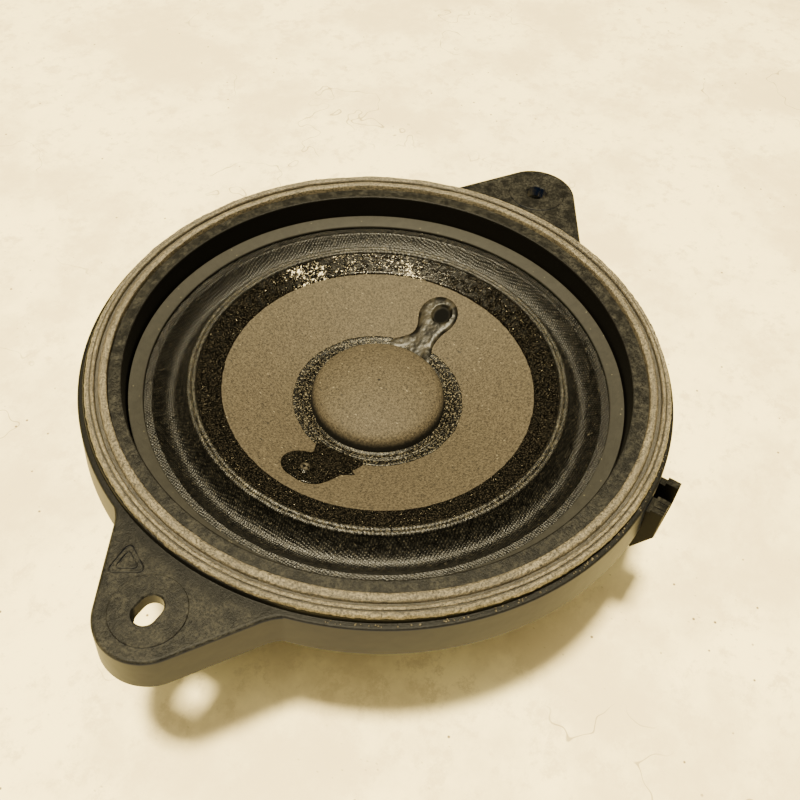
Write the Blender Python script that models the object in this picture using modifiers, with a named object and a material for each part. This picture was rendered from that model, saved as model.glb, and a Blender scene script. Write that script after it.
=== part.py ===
"""Round car speaker driver with two mounting ears, built for Blender 4.5.

The driver stands on its rear face at z = 0 with the speaker axis on +Z.  The mounting ears lie on
the X axis, the slotted one at -X and the round-holed one at +X, and the connector looks along -Y.
All dimensions below are in millimetres.
"""
import math

import bmesh
import bpy
from mathutils import Matrix, Vector

MM = 0.001
GAP = 0.3                      # air left between two pieces that touch on the real driver
MERGE = 0.00001                # Screw merge distance, metres
FINE, MEDIUM, COARSE = 60, 36, 24   # steps of a turned piece, by its size

# Levels of the front
Z_SHELF = 43.1                 # flat top of the basket rim, under the gasket
Z_LEDGE = 41.8                 # ear top and narrow ledge round the rim
Z_SKIRT = 34.1                 # lower edge of the flange skirt and of the ears
Z_SEAT = 35.9                  # seat of the surround inside the bore

# Basket
BORE_R = 47.8
RIM_TOP_R = 54.7
FLANGE_TOP_R, FLANGE_LOW_R = 55.8, 56.3
SKIRT_WALL = 2.3
PLATE = 2.4                    # thickness of the flange's top plate and of the ears
BOWL_R = 50.0                  # outside of the bore wall under the flange
SEAT_R = 43.6                  # inner edge of the surround seat
SPIDER_SEAT_Z = 23.4
SPIDER_SEAT_IN_R, SPIDER_SEAT_OUT_R = 25.4, 29.6
SOCKET_OUT_R = 22.4            # socket that holds the motor cup
SOCKET_LOW_Z = 6.0
SEAT_LIP_R = 15.2
SPOKES = 6
WINDOW_IN_R, WINDOW_OUT_R = 31.0, 42.6
WINDOW_HALF_DEG = 24.5

# Ears
EAR_X = 63.9                   # hole centre, both sides
EAR_END_R = 9.0
EAR_FLARE_DEG = 31.4
EAR_FILLET_R = 9.0
EAR_CORE_R = 54.9              # the ears start inside the skirt here
PAD_R, PAD_RISE = 6.25, 0.25
SLOT_LENGTH, SLOT_WIDTH = 5.45, 3.9
HOLE_R, CRUSH_RIB = 2.3, 0.3

# Connector
SHELL_LOW_X, SHELL_HIGH_X = -0.4, 8.2
SHELL_FACE_Y = -59.0
SHELL_BACK_Y = -50.4
SHELL_TOP, SHELL_LOW = 40.5, 33.4
SHELL_GUSSET_Z = 27.8
SHELL_INNER_TOP = 39.7
SOCKET_LOW, SOCKET_TOP = 34.4, 38.9
SHELL_WALL = 1.0
PIN_XS = {"positive": 5.4, "negative": 2.4}
PIN_WIDTH, PIN_THICK = 0.8, 0.6
PIN_Z, TAB_Z = 36.6, 32.3
PIN_TIP_Y, PIN_BEND_Y, TAB_TIP_Y = -55.2, -52.0, -41.5

# Cone and what sits on it; the slope is rise over run
CONE_SLOPE, CONE_EDGE_SLOPE = 0.385, 0.34
CONE_Z0, CONE_R0 = 36.2, 30.33     # where the surface eases from the first slope to the second
CONE_NECK_R, CONE_EDGE_R = 13.3, 35.4
PAPER = 0.55
LAND_R = 31.0                  # the surround is bonded to the cone from here outward
GLUE_IN_R, GLUE_OUT_R = 30.4, 35.1
CAP_R, CAP_SIDE, CAP_DOME = 13.4, 3.6, 2.6
CAP_SHEET = 0.5
CAP_GLUE_R = 17.0
EYELET_X = 24.3

# Surround and clamp ring
RING_IN_R, RING_OUT_R = 44.75, 47.4
RING_IN_Z, RING_OUT_Z = 37.4, 38.2
SURROUND_T = 0.4
RIDGE_R, RIDGE_Z = 35.8, 37.8  # ridge between the bonded land and the roll
ROLL_R, ROLL_Z = 39.4, 34.7    # lowest line of the roll
FOOT_R, FOOT_Z = 43.0, 36.3    # where the roll meets its flange

# Gasket
GASKET_IN_R, GASKET_OUT_R, GASKET_TOP = 50.5, 54.4, 44.4
GASKET_GROOVES = (51.85, 53.3)

# Motor
CUP_R, CUP_H, CUP_FLOOR, CUP_BORE_R = 19.0, 17.0, 4.0, 14.4
MAGNET_R, MAGNET_TOP = 11.2, 12.2
POLE_R, POLE_TOP = 12.0, 16.5
FORMER_IN_R, FORMER_OUT_R = 12.5, 12.9
FORMER_LOW, FORMER_TOP = 10.5, 29.2
WINDING_OUT_R, WINDING_LOW, WINDING_TOP = 13.8, 11.0, 18.0
SPIDER_Z, SPIDER_WAVE, SPIDER_T, SPIDER_WAVES = 24.0, 0.8, 0.5, 3

LEAD_R = 0.45

COLOURS = {                    # RGB, roughness, metallic
    "moulded_plastic": ((0.045, 0.040, 0.030), 0.55, 0.0),
    "ring_plastic": ((0.130, 0.120, 0.085), 0.60, 0.0),
    "foam": ((0.36, 0.29, 0.18), 0.95, 0.0),
    "coated_cloth": ((0.020, 0.018, 0.014), 0.45, 0.0),
    "paper": ((0.32, 0.25, 0.15), 0.90, 0.0),
    "black_glue": ((0.012, 0.010, 0.008), 0.20, 0.0),
    "clear_glue": ((0.22, 0.18, 0.11), 0.25, 0.0),
    "steel": ((0.45, 0.44, 0.42), 0.35, 1.0),
    "magnet": ((0.30, 0.30, 0.30), 0.40, 1.0),
    "brass": ((0.65, 0.48, 0.22), 0.30, 1.0),
    "solder": ((0.60, 0.60, 0.60), 0.35, 1.0),
    "copper": ((0.70, 0.32, 0.16), 0.35, 1.0),
    "former_sheet": ((0.30, 0.15, 0.05), 0.50, 0.0),
    "spider_cloth": ((0.45, 0.30, 0.10), 0.90, 0.0),
}


def cone_z(r):
    """Height of the visible cone surface at radius r."""
    slope = CONE_SLOPE if r < CONE_R0 else CONE_EDGE_SLOPE
    return CONE_Z0 + slope * (r - CONE_R0)


def polar(radius, degrees):
    angle = math.radians(degrees)
    return radius * math.cos(angle), radius * math.sin(angle)


def arc(cx, cy, radius, start_deg, end_deg, steps):
    """Points of an arc, both ends included."""
    points = []
    for i in range(steps + 1):
        x, y = polar(radius, start_deg + (end_deg - start_deg) * i / steps)
        points.append((cx + x, cy + y))
    return points


# ---------------------------------------------------------------- scene set-up

def clear_scene():
    for obj in list(bpy.data.objects):
        bpy.data.objects.remove(obj)


def new_collection(name):
    collection = bpy.data.collections.new(name)
    bpy.context.scene.collection.children.link(collection)
    return collection


def material(name):
    """The named Principled material, made on first use."""
    existing = bpy.data.materials.get(name)
    if existing:
        return existing
    rgb, roughness, metallic = COLOURS[name]
    mat = bpy.data.materials.new(name)
    mat.use_nodes = True
    shader = mat.node_tree.nodes["Principled BSDF"]
    shader.inputs["Base Color"].default_value = (*rgb, 1.0)
    shader.inputs["Roughness"].default_value = roughness
    shader.inputs["Metallic"].default_value = metallic
    mat.diffuse_color = (*rgb, 1.0)
    return mat


def add_object(name, mesh, collection, mat_name=None):
    obj = bpy.data.objects.new(name, mesh)
    collection.objects.link(obj)
    if mat_name:
        mesh.materials.append(material(mat_name))
    return obj


# ---------------------------------------------------------------- shape helpers

def turned(name, profile, collection, mat_name=None, steps=MEDIUM, on_axis=False):
    """A turned piece.  profile lists (radius, z) in mm, down the outer side from the top.

    A ring's profile closes on itself; with on_axis it runs from the axis back to the axis."""
    mesh = bpy.data.meshes.new(name)
    count = len(profile)
    edges = [(i, i + 1) for i in range(count - 1)]
    if not on_axis:
        edges.append((count - 1, 0))
    mesh.from_pydata([(r * MM, 0.0, z * MM) for r, z in profile], edges, [])
    obj = add_object(name, mesh, collection, mat_name)
    screw = obj.modifiers.new("Turn", "SCREW")
    screw.axis = "Z"
    screw.steps = steps
    screw.render_steps = steps
    screw.use_merge_vertices = True
    screw.merge_threshold = MERGE
    screw.use_smooth_shade = True
    return obj


def mesh_from_curve(curve_obj, name, collection, mat_name):
    """Replaces a curve object with the welded mesh it draws."""
    bpy.context.view_layer.update()
    evaluated = curve_obj.evaluated_get(bpy.context.evaluated_depsgraph_get())
    mesh = bpy.data.meshes.new_from_object(evaluated)
    mesh.name = name
    mesh.materials.clear()
    bm = bmesh.new()
    bm.from_mesh(mesh)
    bmesh.ops.remove_doubles(bm, verts=bm.verts, dist=MERGE)
    bmesh.ops.recalc_face_normals(bm, faces=bm.faces)
    bm.to_mesh(mesh)
    bm.free()
    obj = add_object(name, mesh, collection, mat_name)
    obj.matrix_world = curve_obj.matrix_world.copy()
    bpy.data.objects.remove(curve_obj)
    return obj


def plate(name, outlines, low, high, collection, mat_name=None, frame=None):
    """Flat outlines in mm, raised from low to high.  frame turns the XY drawing into place."""
    curve = bpy.data.curves.new(name + "_outline", "CURVE")
    curve.dimensions = "2D"
    curve.fill_mode = "BOTH"
    curve.extrude = (high - low) / 2 * MM
    for outline in outlines:
        spline = curve.splines.new("POLY")
        spline.points.add(len(outline) - 1)
        for point, (x, y) in zip(spline.points, outline):
            point.co = (x * MM, y * MM, 0.0, 1.0)
        spline.use_cyclic_u = True
    curve_obj = bpy.data.objects.new(name + "_outline", curve)
    collection.objects.link(curve_obj)
    curve_obj.matrix_world = (frame or Matrix()) @ Matrix.Translation((0, 0, (low + high) / 2 * MM))
    return mesh_from_curve(curve_obj, name, collection, mat_name)


def box_cutter(name, low, high, collection):
    """An axis-aligned box between two corners in mm."""
    centre = [(a + b) / 2 * MM for a, b in zip(low, high)]
    bpy.ops.mesh.primitive_cube_add(size=1.0, location=centre)
    obj = bpy.context.object
    obj.name = name
    for vertex in obj.data.vertices:
        for axis in range(3):
            vertex.co[axis] *= (high[axis] - low[axis]) * MM
    for other in list(obj.users_collection):
        other.objects.unlink(obj)
    collection.objects.link(obj)
    return obj


def wire(name, route, radius, collection, mat_name, samples=22):
    """A round wire on a smooth curve through the route's points (mm)."""
    points = [Vector(p) for p in route]
    points = [2 * points[0] - points[1]] + points + [2 * points[-1] - points[-2]]
    path = []
    spans = len(points) - 3
    for i in range(samples + 1):
        t = i / samples * spans
        k = min(int(t), spans - 1)
        u = t - k
        a, b, c, d = points[k:k + 4]
        path.append(0.5 * (2 * b + (c - a) * u + (2 * a - 5 * b + 4 * c - d) * u ** 2
                           + (3 * b - a - 3 * c + d) * u ** 3))
    curve = bpy.data.curves.new(name + "_path", "CURVE")
    curve.dimensions = "3D"
    curve.bevel_depth = radius * MM
    curve.bevel_resolution = 2
    curve.use_fill_caps = True
    spline = curve.splines.new("POLY")
    spline.points.add(len(path) - 1)
    for point, position in zip(spline.points, path):
        point.co = (*(position * MM), 1.0)
    curve_obj = bpy.data.objects.new(name + "_path", curve)
    collection.objects.link(curve_obj)
    return mesh_from_curve(curve_obj, name, collection, mat_name)


def combine(obj, other, operation):
    """Joins or cuts obj with a hidden helper piece."""
    other.hide_render = True
    other.display_type = "WIRE"
    boolean = obj.modifiers.new(other.name, "BOOLEAN")
    boolean.operation = operation
    boolean.solver = "EXACT"
    boolean.object = other


# ---------------------------------------------------------------- basket

def ear_outline(inset=0.0):
    """One ear seen from above, pointing along +X, closed inside the flange.

    Straight flanks leave the round end at the flare angle and run into the rim in a fillet."""
    end_r = EAR_END_R - inset
    rim_r = FLANGE_TOP_R - inset
    touch = 90.0 - EAR_FLARE_DEG
    start = Vector(polar(end_r, touch)) + Vector((EAR_X, 0.0))
    normal = Vector(polar(1.0, touch))
    along = Vector((-normal.y, normal.x))
    fillet_r = EAR_FILLET_R + inset
    base = start + fillet_r * normal
    half_b = base.dot(along)
    reach = -half_b - math.sqrt(half_b ** 2 - base.dot(base) + (rim_r + fillet_r) ** 2)
    centre = base + reach * along
    first = math.degrees(math.atan2(-normal.y, -normal.x)) % 360.0
    last = math.degrees(math.atan2(-centre.y, -centre.x)) % 360.0
    upper = arc(EAR_X, 0.0, end_r, 0.0, touch, 8) + arc(centre.x, centre.y, fillet_r, first, last, 6)
    upper.append((EAR_CORE_R - 8.0, upper[-1][1]))
    return upper + [(x, -y) for x, y in reversed(upper[1:])]


def ear(name, side, helpers):
    """An ear solid with its hollow underside; side is +1 at +X and -1 at -X."""
    turn = Matrix.Rotation(0.0 if side > 0 else math.pi, 4, "Z")
    solid = plate(name, [ear_outline()], Z_SKIRT, Z_LEDGE, helpers, frame=turn)
    hollow = plate(name + "_hollow", [ear_outline(SKIRT_WALL)], Z_SKIRT - 2, Z_LEDGE - PLATE, helpers,
                   frame=turn)
    core = turned(name + "_core", [(0, Z_LEDGE + 2), (EAR_CORE_R, Z_LEDGE + 2),
                                   (EAR_CORE_R, Z_SKIRT - 3), (0, Z_SKIRT - 3)],
                  helpers, steps=FINE, on_axis=True)
    pad = turned(name + "_pad", [(0, Z_LEDGE + PAD_RISE), (PAD_R, Z_LEDGE + PAD_RISE),
                                 (PAD_R, Z_LEDGE - 1), (0, Z_LEDGE - 1)], helpers, on_axis=True)
    pad.location.x = side * EAR_X * MM
    combine(solid, hollow, "DIFFERENCE")
    combine(solid, core, "DIFFERENCE")
    combine(solid, pad, "UNION")
    return solid


def hole_outline():
    """Round screw hole with three crush ribs."""
    points = []
    for i in range(36):
        angle = 10.0 * i
        rib = CRUSH_RIB * max(0.0, math.cos(math.radians(3 * angle))) ** 6
        points.append(tuple(Vector(polar(HOLE_R - rib, angle)) + Vector((EAR_X, 0.0))))
    return points


def slot_outline():
    """Slotted screw hole, long along X."""
    half = (SLOT_LENGTH - SLOT_WIDTH) / 2
    radius = SLOT_WIDTH / 2
    return (arc(-EAR_X + half, 0, radius, -90, 90, 8) + arc(-EAR_X - half, 0, radius, 90, 270, 8))


def window_outline(centre_deg):
    low, high = centre_deg - WINDOW_HALF_DEG, centre_deg + WINDOW_HALF_DEG
    return (arc(0, 0, WINDOW_OUT_R, low, high, 8) + arc(0, 0, WINDOW_IN_R, high, low, 6))


def basket(parts, helpers):
    wall_in = BOWL_R + 0.2
    skirt_in = FLANGE_LOW_R - SKIRT_WALL
    under = Z_LEDGE - PLATE
    profile = [
        (BORE_R, Z_SHELF), (RIM_TOP_R, Z_SHELF), (RIM_TOP_R, Z_LEDGE), (FLANGE_TOP_R, Z_LEDGE),
        (FLANGE_LOW_R, Z_SKIRT), (skirt_in, Z_SKIRT), (skirt_in - 0.4, under), (wall_in, under),
        (BOWL_R, Z_SKIRT), (45.1, 31.2), (31.7, 22.4), (28.8, 20.2), (SOCKET_OUT_R + 0.4, 16.8),
        (SOCKET_OUT_R, SOCKET_LOW_Z), (CUP_R + 0.35, SOCKET_LOW_Z), (CUP_R + 0.35, CUP_H + 0.35),
        (SEAT_LIP_R, CUP_H + 0.35), (SEAT_LIP_R, 19.0), (SPIDER_SEAT_IN_R - 1.8, 19.0),
        (SPIDER_SEAT_IN_R, SPIDER_SEAT_Z), (SPIDER_SEAT_OUT_R, SPIDER_SEAT_Z),
        (SPIDER_SEAT_OUT_R + 0.6, 24.6), (SEAT_R, 33.2), (SEAT_R, Z_SEAT), (BORE_R - 0.1, Z_SEAT),
    ]
    body = turned("basket", profile, parts, "moulded_plastic", steps=FINE)
    combine(body, ear("ear_round_hole", 1, helpers), "UNION")
    combine(body, ear("ear_slotted", -1, helpers), "UNION")
    windows = plate("windows", [window_outline(360.0 / SPOKES * (i + 0.5)) for i in range(SPOKES)],
                    12.0, 33.5, helpers)
    combine(body, windows, "DIFFERENCE")
    holes = plate("ear_holes", [hole_outline(), slot_outline()], Z_SKIRT, Z_LEDGE + 2, helpers)
    combine(body, holes, "DIFFERENCE")
    notch = box_cutter("connector_notch", (SHELL_LOW_X - GAP, -58.0, 20.0),
                       (SHELL_HIGH_X + GAP, -51.5, SHELL_INNER_TOP + GAP), helpers)
    combine(body, notch, "DIFFERENCE")
    tab_slot = box_cutter("tab_slot", (PIN_XS["negative"] - 1.4, -52.0, 30.0),
                          (PIN_XS["positive"] + 1.4, -42.0, 33.9), helpers)
    combine(body, tab_slot, "DIFFERENCE")
    return body


# ---------------------------------------------------------------- connector

SIDE_VIEW = Matrix(((0, 0, 1, 0), (1, 0, 0, 0), (0, 1, 0, 0), (0, 0, 0, 1)))   # drawing XY -> YZ


def connector_shell(parts, helpers):
    wall_y = -FLANGE_LOW_R - GAP
    side = [(SHELL_FACE_Y, SHELL_TOP), (SHELL_FACE_Y, SHELL_LOW), (wall_y + 0.6, SHELL_GUSSET_Z),
            (-53.0, SHELL_GUSSET_Z), (SHELL_BACK_Y, 30.5), (SHELL_BACK_Y, 38.9), (-51.9, 38.9),
            (-51.9, SHELL_INNER_TOP), (wall_y, SHELL_INNER_TOP),
            (wall_y, SHELL_TOP)]
    shell = plate("connector_shell", [side], SHELL_LOW_X, SHELL_HIGH_X, parts, "moulded_plastic",
                  frame=SIDE_VIEW)
    socket = box_cutter("socket", (SHELL_LOW_X + SHELL_WALL, SHELL_FACE_Y - 1, SOCKET_LOW),
                        (SHELL_HIGH_X - SHELL_WALL, -52.9, SOCKET_TOP), helpers)
    combine(shell, socket, "DIFFERENCE")
    latch = box_cutter("latch_window", (3.0, SHELL_FACE_Y - 1, 36.0), (6.5, wall_y - 0.4, 42.0), helpers)
    combine(shell, latch, "DIFFERENCE")
    for name, x in PIN_XS.items():
        half = PIN_WIDTH / 2 + GAP
        drop = box_cutter("pin_path_" + name, (x - half, -53.0, 31.6), (x + half, -50.0, 37.5), helpers)
        combine(shell, drop, "DIFFERENCE")
    return shell


def terminal_pin(name, x, parts):
    """A flat strip: blade in the socket, step down, solder tab inside the basket."""
    top, low = PIN_THICK, 0.0
    side = [(PIN_TIP_Y, PIN_Z + low), (PIN_BEND_Y - PIN_THICK, PIN_Z + low),
            (PIN_BEND_Y - PIN_THICK, TAB_Z), (TAB_TIP_Y, TAB_Z), (TAB_TIP_Y, TAB_Z + top),
            (PIN_BEND_Y, TAB_Z + top), (PIN_BEND_Y, PIN_Z + top), (PIN_TIP_Y, PIN_Z + top)]
    half = PIN_WIDTH / 2
    return plate("terminal_pin_" + name, [side], x - half, x + half, parts, "brass", frame=SIDE_VIEW)


def lead_solder(name, x, parts):
    """A bead of solder between a tab and its lead."""
    bpy.ops.mesh.primitive_uv_sphere_add(segments=12, ring_count=8, radius=0.7 * MM,
                                         location=(x * MM, (TAB_TIP_Y + GAP + 0.7) * MM, 32.6 * MM))
    obj = bpy.context.object
    obj.name = "lead_solder_" + name
    obj.data.shade_smooth()
    obj.data.materials.append(material("solder"))
    for other in list(obj.users_collection):
        other.objects.unlink(obj)
    parts.objects.link(obj)
    return obj


def tinsel_lead(name, side, x_end, parts):
    """A braided lead in a slack loop from an eyelet round to its solder tab."""
    start_z = 31.3
    route = [(side * EYELET_X, 0.0, start_z), (side * 25.0, -1.0, 30.2), (side * 26.4, -5.0, 28.9),
             (side * 25.6, -13.0, 28.2), (side * 20.6, -23.5, 28.6), (side * 13.5, -31.5, 30.4),
             ((side * 8.0 + x_end) / 2, -36.4, 32.0), (x_end, TAB_TIP_Y + 2 * GAP + 1.4, 32.6)]
    return wire("tinsel_lead_" + name, route, LEAD_R, parts, "copper")


# ---------------------------------------------------------------- front ring pieces

def front_gasket(parts):
    """A foam ring with two grooves that leave three beads."""
    low = Z_SHELF + GAP
    deep, half = 0.45, 0.15
    edges = [GASKET_IN_R] + [g for groove in GASKET_GROOVES for g in (groove - half, groove + half)]
    edges.append(GASKET_OUT_R)
    profile = []
    for i in range(0, len(edges), 2):
        inner, outer = edges[i], edges[i + 1]
        foot_in = low if i == 0 else GASKET_TOP - deep
        foot_out = low if i == len(edges) - 2 else GASKET_TOP - deep
        profile += [(inner, foot_in), (inner + 0.1, GASKET_TOP), (outer - 0.1, GASKET_TOP),
                    (outer, foot_out)]
    return turned("front_gasket", profile, parts, "foam", steps=FINE)


def clamp_ring(parts):
    low = Z_SEAT + 2 * GAP + SURROUND_T
    profile = [(RING_IN_R, RING_IN_Z), (RING_OUT_R, RING_OUT_Z), (RING_OUT_R, low), (RING_IN_R, low)]
    return turned("surround_clamp_ring", profile, parts, "ring_plastic", steps=FINE)


def sheet_profile(middle, thickness):
    """Closed profile of a thin sheet round its middle line, which runs outward along the radius."""
    upper, lower = [], []
    for i, (r, z) in enumerate(middle):
        before = Vector(middle[max(i - 1, 0)])
        after = Vector(middle[min(i + 1, len(middle) - 1)])
        direction = (after - before).normalized()
        offset = Vector((-direction.y, direction.x)) * thickness / 2
        upper.append((r + offset.x, z + offset.y))
        lower.append((r - offset.x, z - offset.y))
    return upper + lower[::-1]


def quarter(start, end, steps):
    """Points of a quarter ellipse between two points, upright at the start and level at the end."""
    points = []
    for i in range(steps + 1):
        angle = math.pi / 2 * i / steps
        points.append((end[0] + (start[0] - end[0]) * math.cos(angle),
                       start[1] + (end[1] - start[1]) * math.sin(angle)))
    return points


def surround(parts):
    """Inverted half roll, with a land bonded over the cone's edge and a flange under the clamp ring."""
    lift = -2 * GAP + SURROUND_T / 2
    middle = [(r, cone_z(r) + lift) for r in (LAND_R, RIDGE_R - 0.8)]
    bottom = (ROLL_R, ROLL_Z)
    middle += quarter((RIDGE_R + 0.5, RIDGE_Z - 0.3), bottom, 3)
    middle.insert(2, (RIDGE_R, RIDGE_Z))
    middle += quarter((FOOT_R, FOOT_Z), bottom, 3)[-2::-1]
    flange_z = Z_SEAT + GAP + SURROUND_T / 2
    middle += [(RING_IN_R - 0.4, flange_z), (RING_OUT_R - 0.2, flange_z)]
    return turned("surround", sheet_profile(middle, SURROUND_T), parts, "coated_cloth", steps=48)


# ---------------------------------------------------------------- cone assembly

def cone(parts, helpers):
    """Straight paper cone, set down under the surround's land, with a hole for each lead eyelet."""
    sunk = 2 * GAP + SURROUND_T - 0.1
    top = [(CONE_NECK_R, GAP), (CONE_R0, GAP), (LAND_R, sunk), (CONE_EDGE_R, sunk)]
    profile = [(r, cone_z(r) - drop) for r, drop in top]
    profile += [(r, cone_z(r) - drop - PAPER) for r, drop in reversed(top)]
    body = turned("cone", profile, parts, "paper", steps=48)
    holes = plate("eyelet_holes", [arc(s * EYELET_X, 0, 1.3, 0, 345, 15) for s in (1, -1)], 28.0, 40.0,
                  helpers)
    combine(body, holes, "DIFFERENCE")
    return body


def glue_ring(name, inner, outer, rise, parts, mat_name):
    """A low bead of adhesive lying on the cone between two radii."""
    middle = (inner + outer) / 2
    profile = [(inner, cone_z(inner)), (inner + 0.5, cone_z(inner + 0.5) + rise),
               (middle, cone_z(middle) + rise), (outer - 0.5, cone_z(outer - 0.5) + rise),
               (outer, cone_z(outer))]
    return turned(name, profile, parts, mat_name, steps=48 if outer > 20 else MEDIUM)


def dust_cap(parts):
    """A paper cap: steep side, round shoulder and a shallow dome."""
    foot_z = cone_z(CAP_R) + 0.1
    shoulder_z = foot_z + CAP_SIDE
    outer, inner = [], []
    dome_r = CAP_R - 1.2
    for i in range(4):
        r = dome_r * i / 3
        z = shoulder_z + CAP_DOME * (1.0 - (r / CAP_R) ** 2)
        outer.append((r, z))
        inner.append((r * (1.0 - CAP_SHEET / CAP_R), z - CAP_SHEET))
    outer += [(CAP_R - 0.5, shoulder_z - 0.1), (CAP_R - 0.1, shoulder_z - 0.9), (CAP_R, foot_z)]
    inner += [(CAP_R - 0.5 - CAP_SHEET, shoulder_z - 0.5), (CAP_R - 0.1 - CAP_SHEET, shoulder_z - 1.1),
              (CAP_R - CAP_SHEET, foot_z)]
    return turned("dust_cap", outer + inner[::-1], parts, "paper", on_axis=True)


def slope_frame(side):
    """Drawing plane that lies on the cone under an eyelet; +X points outward."""
    place = Matrix.Translation((EYELET_X * MM, 0, cone_z(EYELET_X) * MM))
    tilt = Matrix.Rotation(-math.atan(CONE_SLOPE), 4, "Y")
    return Matrix.Rotation(0.0 if side > 0 else math.pi, 4, "Z") @ place @ tilt


def dab_clear(parts, helpers):
    """Clear adhesive over the +X eyelet: a round lobe with a pit and a neck to the cap bead."""
    lobe_x, lobe_y, lobe_r = -1.1, 0.9, 4.5
    outline = arc(lobe_x, lobe_y, lobe_r, -140, 140, 16)
    outline += [(-6.2, 3.4), (-7.0, 4.8), (-7.0, -3.0), (-5.6, -2.4)]
    dab = plate("lead_dab_clear", [outline], 0.15, 0.9, parts, "clear_glue", frame=slope_frame(1))
    pit = turned("dab_pit", [(0, 40), (1.3, 40), (1.3, 30), (0, 30)], helpers, steps=COARSE, on_axis=True)
    pit.location = (EYELET_X * MM, 0.3 * MM, 0)
    combine(dab, pit, "DIFFERENCE")
    return dab


def dab_dark(parts):
    """Dark adhesive over the -X eyelet, an uneven patch (drawn with +X outward)."""
    outline = [(3.2, 0.9), (2.3, 3.0), (0.9, 4.4), (-0.8, 5.0), (-3.1, 5.2), (-4.7, 6.4), (-5.3, 7.6),
               (-5.6, 6.5), (-6.9, 6.4), (-6.9, -2.0), (-5.2, -1.9), (-3.2, -3.6), (-0.9, -5.2),
               (1.6, -4.6), (3.1, -2.0)]
    return plate("lead_dab_dark", [outline], 0.15, 0.8, parts, "black_glue", frame=slope_frame(-1))


def eyelet(name, side, parts):
    """A hollow rivet through the cone with its flange underneath."""
    flange_top = cone_z(EYELET_X - 1.6) - GAP - PAPER - GAP
    tube_top = cone_z(EYELET_X) - 0.3
    profile = [(0.5, tube_top), (0.95, tube_top), (0.95, flange_top), (1.6, flange_top),
               (1.6, flange_top - 0.35), (0.5, flange_top - 0.35)]
    obj = turned("eyelet_" + name, profile, parts, "brass", steps=16)
    obj.location.x = side * EYELET_X * MM
    return obj


def bead(name, inner, outer, low, high, parts):
    profile = [(inner, high), (inner + 0.4, high), (outer, low + 0.3), (outer, low), (inner, low)]
    return turned(name, profile, parts, "clear_glue", steps=36)


def voice_coil(parts):
    former = [(FORMER_IN_R, FORMER_TOP), (FORMER_OUT_R, FORMER_TOP), (FORMER_OUT_R, FORMER_LOW),
              (FORMER_IN_R, FORMER_LOW)]
    turned("voice_coil_former", former, parts, "former_sheet")
    inner = FORMER_OUT_R + GAP
    winding = [(inner, WINDING_TOP), (WINDING_OUT_R, WINDING_TOP), (WINDING_OUT_R, WINDING_LOW),
               (inner, WINDING_LOW)]
    turned("voice_coil_winding", winding, parts, "copper")


def spider(parts):
    """Corrugated centring disc from the coil former to its seat in the basket."""
    inner, flat_in, outer = FORMER_OUT_R + GAP, SPIDER_SEAT_IN_R - 0.8, SPIDER_SEAT_OUT_R - 0.4
    middle = [(inner, SPIDER_Z)]
    steps = SPIDER_WAVES * 4
    for i in range(steps + 1):
        t = i / steps
        middle.append((inner + 0.8 + (flat_in - inner - 0.8) * t,
                       SPIDER_Z + SPIDER_WAVE * math.sin(2 * math.pi * SPIDER_WAVES * t)))
    middle.append((outer, SPIDER_Z))
    return turned("spider", sheet_profile(middle, SPIDER_T), parts, "spider_cloth")


# ---------------------------------------------------------------- motor

def motor(parts):
    cup = [(0, CUP_FLOOR), (CUP_BORE_R, CUP_FLOOR), (CUP_BORE_R, CUP_H), (CUP_R, CUP_H),
           (CUP_R, 1.0), (CUP_R - 1.0, 0), (0, 0)]
    turned("yoke_cup", cup, parts, "steel", on_axis=True)
    magnet = [(0, MAGNET_TOP), (MAGNET_R, MAGNET_TOP), (MAGNET_R, CUP_FLOOR + GAP), (0, CUP_FLOOR + GAP)]
    turned("magnet_disc", magnet, parts, "magnet", steps=36, on_axis=True)
    low = MAGNET_TOP + GAP
    plate_profile = [(0, POLE_TOP), (POLE_R - 0.4, POLE_TOP), (POLE_R, POLE_TOP - 0.4), (POLE_R, low),
                     (0, low)]
    turned("pole_plate", plate_profile, parts, "steel", on_axis=True)


def main():
    clear_scene()
    parts = new_collection("car_speaker_driver")
    helpers = new_collection("cutters")
    basket(parts, helpers)
    connector_shell(parts, helpers)
    for name, side in (("positive", 1), ("negative", -1)):
        x = PIN_XS[name]
        terminal_pin(name, x, parts)
        lead_solder(name, x, parts)
        tinsel_lead(name, side, x, parts)
        eyelet(name, side, parts)
    front_gasket(parts)
    clamp_ring(parts)
    surround(parts)
    cone(parts, helpers)
    glue_ring("edge_glue_ring", GLUE_IN_R, GLUE_OUT_R, 0.35, parts, "black_glue")
    dust_cap(parts)
    glue_ring("cap_glue_bead", CAP_R + GAP, CAP_GLUE_R, 0.45, parts, "black_glue")
    dab_clear(parts, helpers)
    dab_dark(parts)
    neck_low = cone_z(CONE_NECK_R) - GAP - PAPER - 1.9
    bead("neck_glue_bead", FORMER_OUT_R + GAP, 14.4, neck_low, neck_low + 1.5, parts)
    spider_top = SPIDER_Z + SPIDER_T / 2 + GAP
    bead("spider_glue_bead", FORMER_OUT_R + GAP, 13.9, spider_top + 0.3, spider_top + 1.3, parts)
    voice_coil(parts)
    spider(parts)
    motor(parts)


main()
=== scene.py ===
"""Looks of the car speaker driver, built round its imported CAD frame.

The driver lies on its motor cup on a pale table.  Sizes are in millimetres, in the frame's own axes:
speaker axis on +Z, slotted ear at -X, round-holed ear at +X, connector at -Y.
"""
import math

import bmesh
import bpy
import numpy as np
from mathutils import Matrix, Vector, noise


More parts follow.
